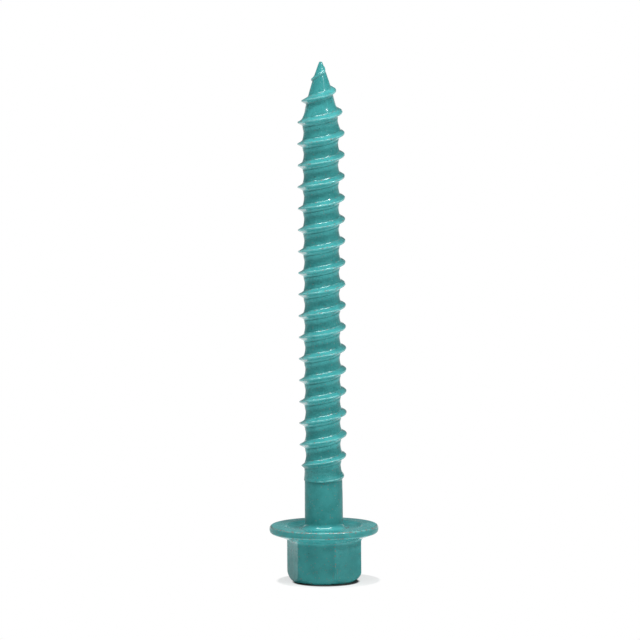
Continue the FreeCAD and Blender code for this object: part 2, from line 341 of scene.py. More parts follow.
def straight_rows(start, end, count):
    """Rows from one point of the section to the next, crowded towards both."""
    shares = smooth_step(np.arange(1, count + 1) / count)
    return [(*(start + (end - start) * share), 0.0) for share in shares]


def round_rows(start, corner, end, weight, count, wear_and_highlight):
    """Rows along the rounding of a corner, with most wear and painted highlight in its middle."""
    rows = []
    for step in range(1, count + 1):
        t = step / count
        parts = (1 - t) ** 2, 2 * t * (1 - t) * weight, t * t
        point = (start * parts[0] + corner * parts[1] + end * parts[2]) / sum(parts)
        rows.append((*point, wear_and_highlight * math.sin(math.pi * t)))
    return rows


def section_rows(angle):
    """Rows of (radius, height, wear and painted highlight) along the rounded section, each with a
    value a line.
    """
    even = np.ones_like(angle)
    corners = head_corners(angle)
    places = [np.stack([even * radius, even * height]) for radius, height, *_ in corners]
    rows = [(*places[0], 0.0)]
    leaving = places[0]
    for k in range(1, len(corners) - 1):
        _, _, length, rows_round, _, wear_and_highlight = corners[k]
        start, end, weight = rounding(*places[k - 1:k + 2], length)
        rows += straight_rows(leaving, start, corners[k - 1][4])
        rows += round_rows(start, places[k], end, weight, rows_round, wear_and_highlight)
        leaving = end
    return rows + straight_rows(leaving, places[-1], corners[-2][4])


def crest_z(turn):
    """Height of the crest: a helix that starts level, as a lip on the end of the shank."""
    turn = np.maximum(turn, 0)
    curved = turn ** 2 / (2 * FLATTENED_TURNS)
    straight = turn - FLATTENED_TURNS / 2
    middle, spread, height = RUN_OUT_LIFT
    lift = height * bell(turn - middle, spread) * np.minimum(turn / LIFT_GROWTH_TURNS, 1)
    return RIDGE_START_Z + PITCH * np.where(turn < FLATTENED_TURNS, curved, straight) + lift


def core_radius(z):
    """Core of the thread, an ogive towards the tip."""
    left = np.clip(TIP_Z - z, 0, POINT_LENGTH)
    full = 1 - (1 - left / POINT_LENGTH) ** POINT_FULLNESS
    return TIP_RADIUS + (CORE_RADIUS - TIP_RADIUS) * full


def crest_radius(turn, z):
    """Radius of the crest, which grows out of the shank and dies out on the point."""
    start = np.interp(turn, RUN_OUT_TURNS, RUN_OUT_RADII)
    point = core_radius(z) + np.interp(TIP_Z - z, CREST_LEFT, CREST_HEIGHT)
    return np.minimum(start, point)


def ridge_radius(turn, above, crest):
    """Radius of the ridge at a distance above its crest, with two straight flanks."""
    tip_slope = np.interp(turn, TIP_FLANK_TURNS, TIP_FLANK_SLOPES)
    head_slope = np.interp(turn, HEAD_FLANK_TURNS, HEAD_FLANK_SLOPES)
    tip_side = crest + TIP_FLANK_ABOVE * tip_slope - tip_slope * above
    head_side = crest + HEAD_FLANK_BELOW * head_slope + head_slope * above
    ridge = smooth_min(tip_side, head_side, CREST_ROUND)
    return smooth_min(ridge, crest + CREST_CAP, CREST_CAP_ROUND)


def nearest_ridge(turn, z):
    """Radius of whichever ridge stands out most at a turn and height."""
    ridge = np.zeros_like(z)
    for k in (-1, 0, 1, 2):
        place = turn + k
        crest = np.where(place < RUN_OUT_TURNS[0], 0, crest_radius(place, crest_z(place)))
        ridge = np.maximum(ridge, ridge_radius(place, z - crest_z(place), crest))
    return ridge


def below_crest(turn, z):
    """Distance under the next crest above, in a full pitch, and how wide that turn's gap is."""
    low, high = crest_z(turn), crest_z(turn + 1)
    gap = np.maximum(high - low, 1e-6)
    return np.clip((high - z) / gap, 0, 1) * PITCH, gap


def root_formed(turn, z, gap):
    """How far the root has its full section: not between the first turns, nor on the point."""
    formed = rising(gap, *ROOT_GAP) * rising(turn, *ROOT_TURNS)
    return formed * falling(z, TIP_Z - ROOT_END, ROOT_FADE)


def root_radius(turn, z, below, formed):
    """Radius of the root, which begins on the shank and flares where the point begins."""
    root = core_radius(z) + np.interp(below, ROOT_BELOW, ROOT_RISE) * formed
    flare_start, flare_end = FLARE_Z
    on_flare = rising(z, flare_start, FLARE_BLEND) * falling(z, flare_end, FLARE_BLEND)
    towards_ridge = np.clip((below - FLARE_BELOW) / FLARE_BELOW, 0, 1)
    root = root + FLARE_RISE * towards_ridge ** FLARE_POWER * on_flare
    return SHANK_TOP_RADIUS + (root - SHANK_TOP_RADIUS) * rising(turn, *SHANK_LEFT_TURNS)


def on_fillet(rise):
    """Share of the fillet and of all above it, by how far the ridge rises over the root."""
    return rising(rise, *FILLET_RISE)


def thread_painted_light(turn, z, below, formed, rise):
    """Painted light on the thread: least in the root, most on the flanks and next to the dark line.
    """
    on_tip_side = np.interp(z, TIP_SIDE_PAINTED_LIGHT_Z, TIP_SIDE_PAINTED_LIGHT)
    on_ridge = rising(rise, *RIDGE_PAINTED_LIGHT_RISE) * np.interp(turn, RIDGE_PAINTED_LIGHT_TURNS, RIDGE_PAINTED_LIGHT)
    on_ridge = on_ridge * np.where(below < PITCH / 2, 1.0, on_tip_side)
    fillet = FILLET_PAINTED_LIGHT * on_fillet(rise) * (below > PITCH / 2) * (turn > 1)
    above_dark_line = falling(below, *ABOVE_DARK_LINE_END) * formed
    under_dark_line = UNDER_DARK_LINE_PAINTED_LIGHT * rising(below, *UNDER_DARK_LINE_START)
    under_dark_line = under_dark_line * falling(below, *UNDER_DARK_LINE_END) * formed
    on_point = np.interp(z, POINT_PAINTED_LIGHT_Z, POINT_PAINTED_LIGHT)
    root = ROOT_PAINTED_LIGHT * rising(turn, *ROOT_PAINTED_LIGHT_TURNS)
    return np.max([on_ridge, fillet, above_dark_line, under_dark_line, on_point, root], axis=0)


def thread_surface(turn, z):
    """Radius of the threaded length at a turn and height, its painted light and how glossy it is.
    """
    below, gap = below_crest(turn, z)
    formed = root_formed(turn, z, gap)
    root = root_radius(turn, z, below, formed)
    ridge = nearest_ridge(turn, z)
    rise = ridge - root
    fillet = np.where(below < PITCH / 2, HEAD_SIDE_FILLET, TIP_SIDE_FILLET)
    near_tip = smooth_step((z - TIP_Z + POINT_FILLET_LEFT) / POINT_FILLET_BLEND)
    radius = smooth_max(ridge, root, fillet + POINT_FILLET * near_tip)
    gloss = on_fillet(rise) * np.interp(turn, RIDGE_GLOSS_TURNS, RIDGE_GLOSS)
    gloss = np.maximum(gloss, np.interp(z, POINT_GLOSS_Z, POINT_GLOSS))
    return radius, thread_painted_light(turn, z, below, formed, rise), gloss


def crest_wear_and_highlight(turn, z):
    """Share of edge wear and painted highlight along the crests and, less, where their tip sides
    meet the root.
    """
    wear_and_highlight = np.zeros_like(z)
    for k in (0, 1):
        above = z - crest_z(turn + k)
        grown = np.interp(turn + k, FIRST_CREST_TURNS, FIRST_CREST_WEAR_AND_HIGHLIGHT)
        wear_and_highlight = np.maximum(wear_and_highlight, grown * bell(above, CREST_WEAR_AND_HIGHLIGHT_WIDTH))
        foot = FLANK_FOOT_HIGHLIGHT_AND_WEAR * bell(above - FLANK_FOOT_ABOVE, FLANK_FOOT_WIDTH)
        wear_and_highlight = np.maximum(wear_and_highlight, foot * (turn + k > 1))
    return wear_and_highlight * falling(z, *CREST_WEAR_AND_HIGHLIGHT_END)


def dark_line_share(turn, z):
    """Share of a dark line under each ridge, and of a fainter dark line above its tip side."""
    below, gap = below_crest(turn, z)
    dark_line = bell(below - DARK_LINE_BELOW, DARK_LINE_WIDTH)
    dark_line = dark_line + UPPER_LINE_SHARE * bell(below - PITCH + UPPER_LINE_ABOVE, UPPER_LINE_WIDTH)
    return dark_line * rising(gap, *DARK_LINE_GAP) * falling(z, TIP_Z - ROOT_END, DARK_LINE_FADE)


class ScrewMesh:
    """Vertices and faces of the whole screw, collected grid by grid."""

    def __init__(self):
        self.places = []
        self.layers = {name: [] for name in LAYERS}
        self.faces = []

    def add_row(self, radius, angle, z, edge, dark_line=0.0, painted_light_and_smoothness=0.0, gloss=0.0):
        """A row of vertices with the values of their layers; returns their numbers."""
        first = len(self.places)
        for r, a, h, *marks in zip(*np.broadcast_arrays(radius, angle, z, edge, dark_line, painted_light_and_smoothness, gloss)):
            self.places.append((r * math.cos(a), r * math.sin(a), h))
            for layer, mark in zip(LAYERS, marks):
                self.layers[layer].append(float(mark))
        return list(range(first, len(self.places)))

    def add_face(self, *corners):
        """A face without its repeated corners."""
        kept = [c for i, c in enumerate(corners) if c != corners[i - 1]]
        if len(set(kept)) > 2:
            self.faces.append(kept)

    def join_rows(self, low, high):
        """Faces between two closed rows; the lower one may be a single vertex, repeated."""
        count = len(low)
        for j in range(count):
            after = (j + 1) % count
            self.add_face(low[j], low[after], high[after], high[j])


def head_painted_light(radius, z):
    """Painted light on the head: least on the shank and the foot of the flats, most under the
    flange and in the dish.
    """
    on_flats = FLATS_PAINTED_LIGHT + FLATS_PAINTED_LIGHT_GAIN * rising(z, *FLATS_PAINTED_LIGHT_Z)
    on_cone = CONE_PAINTED_LIGHT + CONE_PAINTED_LIGHT_GAIN * rising(radius, *CONE_PAINTED_LIGHT_RADIUS)
    on_flange = np.where(radius > RIM_RADIUS - RIM_BAND, RIM_PAINTED_LIGHT, on_cone)
    outside = on_flats + (on_flange - on_flats) * rising(z, *FLANGE_PAINTED_LIGHT_Z)
    up_shank = np.interp(z, [BEARING_PAINTED_LIGHT_Z, SHANK_PLAIN_Z], [BEARING_PAINTED_LIGHT, 0.0])
    on_face = np.where(radius > BEARING_EDGE_RADIUS, BEARING_EDGE_PAINTED_LIGHT, BEARING_PAINTED_LIGHT)
    in_dish = (z > UPPER_SIDE_Z) & (radius < DISH_PAINTED_LIGHT_RADIUS)
    lower = np.where(in_dish, DISH_PAINTED_LIGHT, outside)
    return np.where(z > BEARING_PAINTED_LIGHT_Z, np.minimum(up_shank, on_face), lower)


def head_gloss(radius, z, wear_and_highlight):
    """How glossy the head is: most on the neck's fillet and the rim's upper edge."""
    upper_side = z > UPPER_SIDE_Z
    on_neck = falling(radius, *NECK_GLOSS_RADIUS) * falling(z, *NECK_GLOSS_Z) * upper_side
    on_rim_edge = np.clip(2 * wear_and_highlight, 0, 1) * (radius > RIM_GLOSS_RADIUS) * (z > RIM_GLOSS_Z)
    in_dish = DISH_GLOSS * upper_side * (z < DISH_GLOSS_Z) * (radius < DISH_GLOSS_RADIUS)
    on_cone = CONE_GLOSS * rising(z, *CONE_GLOSS_Z)
    on_cone = on_cone * (z < UPPER_SIDE_Z) * (radius < CONE_GLOSS_RADIUS)
    return np.max(np.broadcast_arrays(on_neck, on_rim_edge, in_dish, on_cone), axis=0)


def head_wear_and_highlight(radius, z, wear_and_highlight, at_corner):
    """Wear and painted highlight of a row's own edge, of the hexagon's corners or of the rim,
    whichever is most.
    """
    on_hexagon = abs(radius - CORNER_WEAR_RADIUS) < CORNER_WEAR_REACH
    on_hexagon = on_hexagon and CORNER_WEAR_LOW < z < CORNER_WEAR_HIGH
    on_rim = radius > RIM_WEAR_RADIUS and RIM_WEAR_LOW < z < RIM_WEAR_HIGH
    return np.maximum(np.maximum(wear_and_highlight, CORNER_WEAR * at_corner * on_hexagon), RIM_WEAR * on_rim)


def build_head(mesh):
    """Head, flange and shank; returns the row where the thread begins."""
    crowded, even = corner_lines(), even_lines()
    at_corner = bell(corner_distance(crowded), CORNER_WEAR_SPREAD)
    rows = section_rows(crowded)
    below = None
    for radius, z, wear_and_highlight in rows[1:]:
        mean_radius, mean_z = float(radius.mean()), float(z.mean())
        even_share = 1.0 if mean_z > UPPER_SIDE_Z else rising(mean_radius, *EVEN_LINES_RADIUS)
        row = mesh.add_row(
            radius, crowded + (even - crowded) * even_share, z,
            head_wear_and_highlight(mean_radius, mean_z, wear_and_highlight, at_corner), 0.0,
            head_painted_light(radius, z), head_gloss(radius, z, wear_and_highlight))
        if below is None:
            below = mesh.add_row([0.0], [0.0], rows[0][1][:1], 0.0) * LINES
        mesh.join_rows(below, row)
        below = row
    return below


def build_thread(mesh, ring):
    """Thread from the ring at the end of the shank to a last level ring under the tip.

    Line i of the helical grid stands at turn i / LINES, and lane m of a line lies between the crest
    of that turn and the crest of the next. The last lane of a line is lane 0 of the line one turn
    on, or the last ring, and the first turn of lines rests on the ring of the shank.
    """
    shift = int(round(RIDGE_START_ANGLE / (2 * math.pi) * LINES))
    ring_shift = shift + LINES // 12
    last = int(round(((LAST_RING_Z - RIDGE_START_Z) / PITCH + FLATTENED_TURNS / 2) * LINES))
    top_z = float(crest_z(last / LINES))
    count = len(LANES)

    def add_top(i):
        """Vertex of the last ring on a line."""
        radius, _, _ = thread_surface(np.array([i / LINES]), np.array([top_z]))
        angle = 2 * math.pi * (i + shift) / LINES
        return mesh.add_row(radius, angle, top_z, 0, 0, TIP_PAINTED_LIGHT, TIP_GLOSS)[0]

    numbers = {(j - LINES, 0): ring[(j + ring_shift) % LINES] for j in range(LINES)}
    numbers[(0, 0)] = numbers[(-LINES, 0)]
    numbers.update({(-LINES, m): numbers[(0, 0)] for m in range(1, count)})
    for i in range(1 - LINES, last):
        turn = i / LINES
        low = float(crest_z(turn))
        high = min(float(crest_z(turn + 1)), top_z)
        lanes = [m for m in range(count) if (i, m) not in numbers]
        z = low + (high - low) * LANES[lanes] / PITCH
        turns = np.full(len(lanes), turn)
        radius, painted_light_and_smoothness, gloss = thread_surface(turns, z)
        made = mesh.add_row(
            radius, 2 * math.pi * (i + shift) / LINES, z, crest_wear_and_highlight(turns, z),
            dark_line_share(turns, z), painted_light_and_smoothness, gloss)
        numbers.update({(i, m): number for m, number in zip(lanes, made)})
        if i + LINES > last:
            numbers[(i, count)] = add_top(i)
    end = add_top(last)
    numbers.update({(last, m): end for m in range(count + 1)})
    for i in range(-LINES, last + 1 - LINES):
        numbers[(i, count)] = numbers[(i + LINES, 0)]
    for i in range(-LINES, last):
        for m in range(count):
            places = (i, m), (i + 1, m), (i + 1, m + 1), (i, m + 1)
            mesh.add_face(*(numbers[place] for place in places))
    first_top = last - LINES + 1
    return [numbers[(first_top + j, count)] for j in range(LINES)], first_top + shift


def build_tip(mesh, ring, first_line):
    """Blunt end of the point, closed by a rounded cap."""
    angle = 2 * math.pi * (np.arange(LINES) + first_line) / LINES
    rows = [(core_radius(TIP_Z - left), left, CAP_SIDE_WEAR) for left in CAP_SIDE]
    end_radius = rows[-1][0]
    rows += [(end_radius * share, left, CAP_END_WEAR) for share, left in CAP_END]
    below = ring
    for radius, left, wear_and_highlight in rows:
        row = mesh.add_row(radius, angle, TIP_Z - left, wear_and_highlight, 0.0, TIP_PAINTED_LIGHT, TIP_GLOSS)
        mesh.join_rows(below, row)
        below = row
    centre = mesh.add_row([0.0], [0.0], [TIP_Z], TIP_WEAR, 0.0, TIP_PAINTED_LIGHT, TIP_GLOSS)[0]
    for j in range(LINES):
        mesh.add_face(centre, below[j], below[(j + 1) % LINES])


def unevenness(place, wear_and_highlight):
    """Radial unevenness of the coated surface at a place: lumps, smears and chipped edges."""
    point = Vector(place)
    lumps = sum(noise.noise(point * scale + shift) * height for scale, height, shift in LUMPS)
    z = place[2]
    if z < ROUGH_START_Z:
        return lumps * (HEXAGON_LUMPS if z < HEXAGON_TOP_Z else SHANK_LUMPS)
    smeared = max(0.0, 1 - abs(z - SMEAR_Z) / SMEAR_REACH)
    across = Vector((point.x * SMEAR_SCALE_ROUND, point.y * SMEAR_SCALE_ROUND, z * SMEAR_SCALE_UP))
    smear = noise.noise(across) * SMEAR_HEIGHT * smeared
    nick = noise.noise(point * CHIP_SCALE + CHIP_SHIFT)
    chip = -CHIP_DEPTH * wear_and_highlight * min(1.0, max(0.0, nick - CHIP_THRESHOLD) / CHIP_BLEND)
    return lumps * THREAD_LUMPS + smear + chip


def finished_place(place, wear_and_highlight):
    """Place of a vertex with its unevenness and the bow, in metres; both ends stay smooth."""
    x, y, z = place
    radius = math.hypot(x, y)
    rough = SMOOTH_END_Z < z < TIP_Z - SMOOTH_TIP
    share = min(1.0, radius / SMOOTH_RADIUS) if rough else 0.0
    grown = 1 + unevenness(place, wear_and_highlight) * share / max(radius, LEAST_RADIUS)
    aside = float(np.interp(z, BOW_Z, BOW_ASIDE))
    across = x * grown + aside * math.cos(BOW_ANGLE)
    along = y * grown + aside * math.sin(BOW_ANGLE)
    return across * MM, along * MM, z * MM


def build_screw():
    """The whole screw as one closed mesh."""
    mesh = ScrewMesh()
    ring = build_head(mesh)
    top, first_line = build_thread(mesh, ring)
    build_tip(mesh, top, first_line)
    places = [finished_place(*vertex) for vertex in zip(mesh.places, mesh.layers["edge"])]
    data = bpy.data.meshes.new("painted_screw")
    data.from_pydata(places, [], mesh.faces)
    for name, values in mesh.layers.items():
        attribute = data.attributes.new(name, "FLOAT", "POINT")
        attribute.data.foreach_set("value", np.array(values, np.float32))
    data.polygons.foreach_set("use_smooth", [True] * len(data.polygons))
    data.validate()
    piece = bpy.data.objects.new("painted_screw", data)
    bpy.context.scene.collection.objects.link(piece)
    return piece


def node(tree, kind, **values):
    """A shader node with its settings and the values of its unlinked inputs, by name."""
    made = tree.nodes.new(kind)
    for name, value in values.items():
        if name in made.inputs:
            made.inputs[name].default_value = value
        else:
            setattr(made, name, value)
    return made


def feed(tree, socket, value):
    """Set an input to a number, or link it to a socket."""
    if isinstance(value, (int, float)):
        socket.default_value = value
    else:
        tree.links.new(value, socket)


def math_node(tree, operation, first, second, clamp=False):
    """Output of a Math node; each operand is a socket or a number."""
    made = node(tree, "ShaderNodeMath", operation=operation, use_clamp=clamp)
    feed(tree, made.inputs[0], first)
    feed(tree, made.inputs[1], second)
    return made.outputs[0]


def mapped(tree, value, low, high, to_low=0.0, to_high=1.0):
    """A value mapped smoothly from one range to another, and held at its ends."""
    made = node(tree, "ShaderNodeMapRange", interpolation_type="SMOOTHSTEP")
    ends = {"From Min": low, "From Max": high, "To Min": to_low, "To Max": to_high}
    for name, end in ends.items():
        feed(tree, made.inputs[name], end)
    tree.links.new(value, made.inputs["Value"])
    return made.outputs["Result"]


def blended(tree, share, first, second):
    """Output of a colour Mix node; each colour is a socket or a tuple."""
    made = node(tree, "ShaderNodeMix", data_type="RGBA")
    tree.links.new(share, made.inputs[0])
    for socket, value in ((made.inputs[6], first), (made.inputs[7], second)):
        if isinstance(value, tuple):
            socket.default_value = (*value, 1)
        else:
            tree.links.new(value, socket)
    return made.outputs[2]


def noise_value(tree, place, scale, detail):
    """Noise between about 0.25 and 0.75 at a place; the scale is a socket or a number."""
    made = node(tree, "ShaderNodeTexNoise", Detail=detail)
    tree.links.new(place, made.inputs["Vector"])
    feed(tree, made.inputs["Scale"], scale)
    return made.outputs["Fac"]


def new_group(name, result, **numbers):
    """Shader node group that takes a place and numbers and puts out one value.

    Returns the group, its inputs and its output socket. The numbers are the inputs' own values.
    """
    group = bpy.data.node_groups.new(name, "ShaderNodeTree")
    group.interface.new_socket("Place", in_out="INPUT", socket_type="NodeSocketVector")
    for label, value in numbers.items():
        socket = group.interface.new_socket(
            label.replace("_", " "), in_out="INPUT", socket_type="NodeSocketFloat")
        socket.default_value = value
    group.interface.new_socket(result, in_out="OUTPUT", socket_type="NodeSocketFloat")
    given = group.nodes.new("NodeGroupInput").outputs
    return group, given, group.nodes.new("NodeGroupOutput").inputs[result]


def make_mottle():
    """Uneven tone of a sprayed coat: broad clouds and a fine grain, about 0.5 in the middle."""
    group, given, result = new_group(
        "coat_mottle", "Tone", Cloud_Scale=0.6, Grain_Scale=7.0, Grain_Share=0.4)
    clouds = noise_value(group, given["Place"], given["Cloud Scale"], 3.0)
    grain = noise_value(group, given["Place"], given["Grain Scale"], 2.0)
    grain = math_node(group, "SUBTRACT", grain, 0.5)
    grain = math_node(group, "MULTIPLY", grain, given["Grain Share"])
    group.links.new(math_node(group, "ADD", clouds, grain, clamp=True), result)
    return group


def make_specks():
    """Scattered round specks: a share of the cells of a grid of chance has one each."""
    group, given, result = new_group("coat_specks", "Mask", Scale=3.0, Share=0.1, Size=0.3)
    cells = node(group, "ShaderNodeTexVoronoi", feature="F1")
    group.links.new(given["Place"], cells.inputs["Vector"])
    group.links.new(given["Scale"], cells.inputs["Scale"])
    chance = node(group, "ShaderNodeSeparateColor")
    group.links.new(cells.outputs["Color"], chance.inputs["Color"])
    chosen = math_node(group, "LESS_THAN", chance.outputs["Red"], given["Share"])
    size = mapped(group, chance.outputs["Green"], 0, 1, 0.4, 1)
    reach = math_node(group, "MULTIPLY", given["Size"], size)
    inner = math_node(group, "MULTIPLY", reach, 0.5)
    spot = mapped(group, cells.outputs["Distance"], inner, reach, 1.0, 0.0)
    group.links.new(math_node(group, "MULTIPLY", spot, chosen), result)
    return group


def make_edge_wear_and_highlight():
    """Edges rubbed thin, in a pale teal that is also a painted highlight: the edge's own share,
    broken up by noise.
    """
    group, given, result = new_group("rubbed_and_highlit_edges", "Mask", Edge=0.0, Scale=2.0, Amount=0.5)
    patches = noise_value(group, given["Place"], given["Scale"], 3.0)
    reach = math_node(group, "MULTIPLY", given["Edge"], given["Amount"])
    rubbed_and_highlit = math_node(group, "ADD", patches, math_node(group, "SUBTRACT", reach, 0.75))
    mask = math_node(group, "MULTIPLY", mapped(group, rubbed_and_highlit, 0.0, 0.35), given["Edge"])
    group.links.new(mask, result)
    return group


def make_orange_peel():
    """Height of the coat's fine waves, in millimetres."""
    group, given, result = new_group(
        "orange_peel", "Height", Wave_Scale=2.0, Wave_Height=0.004, Grain_Height=0.001)
    waves = noise_value(group, given["Place"], given["Wave Scale"], 1.0)
    finer = math_node(group, "MULTIPLY", given["Wave Scale"], 4.5)
    grain = noise_value(group, given["Place"], finer, 2.0)
    waves = math_node(group, "MULTIPLY", waves, given["Wave Height"])
    grain = math_node(group, "MULTIPLY", grain, given["Grain Height"])
    group.links.new(math_node(group, "ADD", waves, grain), result)
    return group


def placed(tree, group, place, **values):
    """A node group in a material, with its place linked and its values set or linked."""
    made = tree.nodes.new("ShaderNodeGroup")
    made.node_tree = group
    tree.links.new(place, made.inputs["Place"])
    for name, value in values.items():
        feed(tree, made.inputs[name.replace("_", " ")], value)
    return made.outputs[0]


def new_material(name):
    """Material with an empty node tree."""
    material = bpy.data.materials.new(name)
    material.use_nodes = True
    material.node_tree.nodes.clear()
    return material, material.node_tree


def show(tree, shader, kind="Material"):
    """Link a shader to the output of a material or of the world."""
    out = node(tree, "ShaderNodeOutput" + kind)
    tree.links.new(shader, out.inputs["Surface"])


# Colours of the coat: each of the first two has a darker and a lighter tone. The first is the plain
# teal; the second, a lighter teal, paints the light that falls on flanks and faces. The pale rubbed
# teal is worn paint and a painted highlight.
BASE_TEAL = ((0.028, 0.211, 0.210), (0.041, 0.266, 0.263))
PAINTED_LIGHT_TEAL = ((0.056, 0.362, 0.365), (0.076, 0.442, 0.444))
RUBBED_PAINT_AND_HIGHLIGHT = (0.19, 0.50, 0.49)
RUST_SPECK = (0.19, 0.165, 0.15)
DARK_SPECK = (0.018, 0.11, 0.11)
DARK_LINE_TONE = (0.035, 0.17, 0.165)
DUST = (0.24, 0.47, 0.46)

# Roughness where there is no painted light and where it is full
MATT_ROUGHNESS, SMOOTH_ROUGHNESS = 0.36, 0.18
RUST_ROUGHNESS, RUST_HEIGHT = 0.25, 0.004
RUST_SCALE, RUST_SIZE, RUST_ON_EDGES = 4.2, 0.52, 2.8
# Ranges of edge wear over which rust grows denser, and again on the most worn edges
SOME_WEAR, MOST_WEAR = (0.05, 0.2), (0.5, 0.75)
# The other specks, dark ones and dust: cells a millimetre, size, strength and colour
OTHER_SPECKS = ((3.1, 0.30, 0.8, DARK_SPECK), (5.3, 0.34, 0.6, DUST))
GLOSS_WEIGHT = 0.95
PAINT_SHADER = {
    "IOR": 1.5, "Specular IOR Level": 0.16, "Coat Roughness": 0.10, "Coat IOR": 1.5}

# How much shows of rust, dark specks and dust, wear with its painted highlight and grain, how high
# the waves are, and how much denser and larger the rust is on the most worn edges
HEAD_PAINT = {
    "rust": 0.22, "dark": 0.07, "wear_and_highlight": 0.62, "grain": 0.35, "waves": 0.0015, "clump": 0.30}
THREAD_PAINT = {
    "rust": 0.18, "dark": 0.14, "wear_and_highlight": 0.60, "grain": 0.80, "waves": 0.006, "clump": 0.0}


def rust_specks(tree, groups, place, edge, paint):
    """Mask of the brown specks, which are denser on edges."""
    rust, clump = paint["rust"], paint["clump"]
    share = mapped(tree, edge, *SOME_WEAR, rust, RUST_ON_EDGES * rust)
    share = math_node(tree, "ADD", share, mapped(tree, edge, *MOST_WEAR, 0.0, clump))
    size = mapped(tree, edge, *MOST_WEAR, RUST_SIZE, RUST_SIZE + clump)
    return placed(tree, groups["specks"], place, Scale=RUST_SCALE, Share=share, Size=size)


def coat_colour(tree, groups, place, layers, rust, paint):
    """Plain teal and a lighter teal for painted light, with dark lines, rubbed edges that are also
    a painted highlight, rust, specks and dust.
    """
    mottle = groups["mottle"]
    tone = placed(
        tree, mottle, place, Cloud_Scale=0.7, Grain_Scale=6.5, Grain_Share=paint["grain"])
    tone = mapped(tree, tone, 0.3, 0.7)
    plain_teal, painted_light_teal = blended(tree, tone, *BASE_TEAL), blended(tree, tone, *PAINTED_LIGHT_TEAL)
    colour = blended(tree, layers["painted_light_and_smoothness"], plain_teal, painted_light_teal)
    patches = placed(tree, mottle, place, Cloud_Scale=1.3, Grain_Scale=4.0, Grain_Share=0.8)
    patches = mapped(tree, patches, 0.3, 0.65, 0.15, 0.9)
    dark_line = math_node(tree, "MULTIPLY", layers["dark_line"], patches)
    colour = blended(tree, dark_line, colour, DARK_LINE_TONE)
    edge = layers["edge"]
    rubbed_and_highlit = placed(tree, groups["wear_and_highlight"], place, Edge=edge, Scale=2.6, Amount=paint["wear_and_highlight"])
    colour = blended(tree, rubbed_and_highlit, colour, RUBBED_PAINT_AND_HIGHLIGHT)
    rust = math_node(tree, "MULTIPLY", rust, mapped(tree, edge, 0.0, 0.6, 0.4, 1.0))
    colour = blended(tree, rust, colour, RUST_SPECK)
    for scale, size, strength, tint in OTHER_SPECKS:
        specks = placed(
            tree, groups["specks"], place, Scale=scale, Share=paint["dark"], Size=size)
        colour = blended(tree, math_node(tree, "MULTIPLY", specks, strength), colour, tint)
    return colour


def coat_roughness(tree, groups, place, painted_light_and_smoothness, rust):
    """Roughness: less where the painted light is strong, uneven in patches, and more on rust."""
    patches = placed(
        tree, groups["mottle"], place, Cloud_Scale=1.6, Grain_Scale=9.0, Grain_Share=0.5)
    patches = mapped(tree, patches, 0.2, 0.8, 0.85, 1.3)
    matt = mapped(tree, painted_light_and_smoothness, 0.2, 0.5, MATT_ROUGHNESS, SMOOTH_ROUGHNESS)
    roughness = math_node(tree, "MULTIPLY", matt, patches)
    return math_node(tree, "ADD", roughness, math_node(tree, "MULTIPLY", rust, RUST_ROUGHNESS))


def coat_relief(tree, groups, place, rust, waves):
    """Normal of the coat's waves and of its raised rust."""
    height = placed(
        tree, groups["peel"], place, Wave_Scale=1.7, Wave_Height=waves, Grain_Height=waves / 5)
    height = math_node(tree, "ADD", height, math_node(tree, "MULTIPLY", rust, RUST_HEIGHT))
    relief = node(tree, "ShaderNodeBump", Strength=1.0, Distance=MM)
    tree.links.new(height, relief.inputs["Height"])
    return relief.outputs["Normal"]


def paint_material(name, groups, paint):
    """Semi-gloss teal coat with painted light and painted highlights, and the marks of age that its
    paint says.
    """
    material, tree = new_material(name)
    coordinates = node(tree, "ShaderNodeTexCoord")
    in_mm = node(tree, "ShaderNodeVectorMath", operation="SCALE", Scale=1 / MM)
    tree.links.new(coordinates.outputs["Object"], in_mm.inputs[0])
    place = in_mm.outputs[0]
    layers = {
        layer: node(tree, "ShaderNodeAttribute", attribute_name=layer).outputs["Fac"]
        for layer in LAYERS}
    rust = rust_specks(tree, groups, place, layers["edge"], paint)
    shader = node(tree, "ShaderNodeBsdfPrincipled", **PAINT_SHADER)
    surface = {
        "Base Color": coat_colour(tree, groups, place, layers, rust, paint),
        "Roughness": coat_roughness(tree, groups, place, layers["painted_light_and_smoothness"], rust),
        "Coat Weight": math_node(tree, "MULTIPLY", layers["gloss"], GLOSS_WEIGHT),
        "Normal": coat_relief(tree, groups, place, rust, paint["waves"]),
    }
    for socket, value in surface.items():
        tree.links.new(value, shader.inputs[socket])
    show(tree, shader.outputs["BSDF"])
    return material


def dress_screw(piece):
    """Coat on the whole screw, more marked on the thread than on head and shank."""
    groups = {
        "mottle": make_mottle(), "specks": make_specks(), "wear_and_highlight": make_edge_wear_and_highlight(),
        "peel": make_orange_peel()}
    piece.data.materials.append(paint_material("teal_coat_head", groups, HEAD_PAINT))
    piece.data.materials.append(paint_material("teal_coat_thread", groups, THREAD_PAINT))
    for face in piece.data.polygons:
        face.material_index = int(face.center.z > RIDGE_START_Z * MM)


# Camera: where the photograph was taken from, with its distance in metres
CAMERA_AZIMUTH = math.radians(13)
CAMERA_ELEVATION = math.radians(7.55)
CAMERA_ROLL = -0.0080
CAMERA_DISTANCE = 1.5
PIXELS_PER_MM = 8.52
IMAGE_PIXELS = 640
AIM_Z = 30.90
AIM_RIGHT = -0.272


def camera_axes():
    """Right, up and forward of the level camera, before its roll."""
    right = Vector((math.cos(CAMERA_AZIMUTH), math.sin(CAMERA_AZIMUTH), 0))
    away = Vector((-math.sin(CAMERA_AZIMUTH), math.cos(CAMERA_AZIMUTH), 0))
    forward = away * math.cos(CAMERA_ELEVATION) - Vector((0, 0, 1)) * math.sin(CAMERA_ELEVATION)
    return right, right.cross(forward), forward


